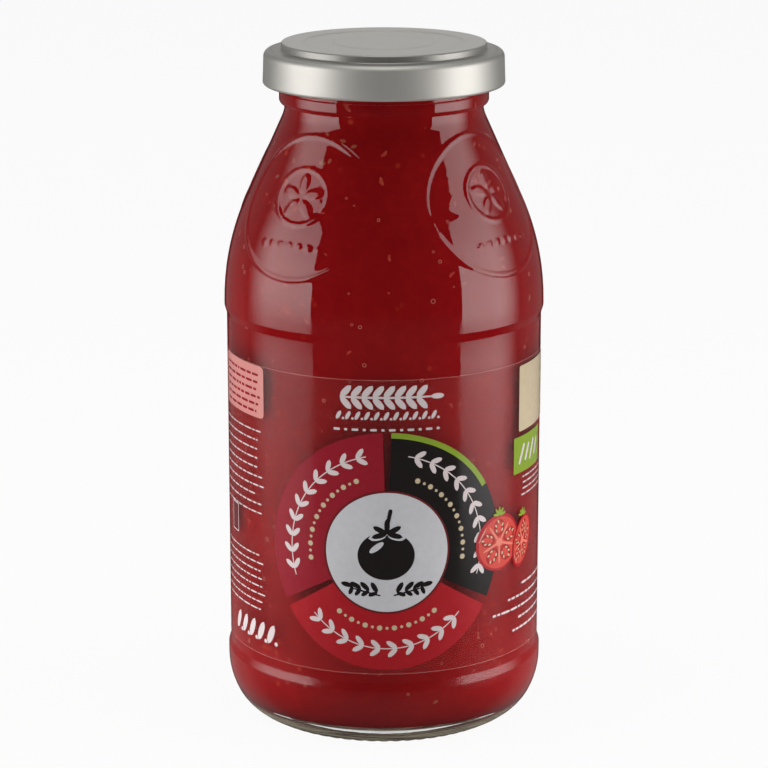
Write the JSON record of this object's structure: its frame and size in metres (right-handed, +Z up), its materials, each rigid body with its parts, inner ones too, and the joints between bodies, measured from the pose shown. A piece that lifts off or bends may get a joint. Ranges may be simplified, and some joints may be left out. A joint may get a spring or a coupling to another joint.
{
  "type": "jar of tomato pulp",
  "caption": "Tall filled glass jar of tomato pulp with a conical shoulder, a twist-off steel lid and a clear printed film label.",
  "frame": {"origin": "centre of the bearing ring on which the jar stands", "axes": "+Z up along the jar's axis, -Y the front of the label"},
  "size_m": [0.0756, 0.0756, 0.162],
  "materials": {
    "glass": "clear gloss",
    "pulp": "wet tomato pulp",
    "lid": "satin",
    "film": "clear printed film"
  },
  "bodies": {
    "root": {"glass_jar": "glass", "tomato_pulp": "pulp", "lid": "lid", "label": "film"}
  },
  "joints": []
}
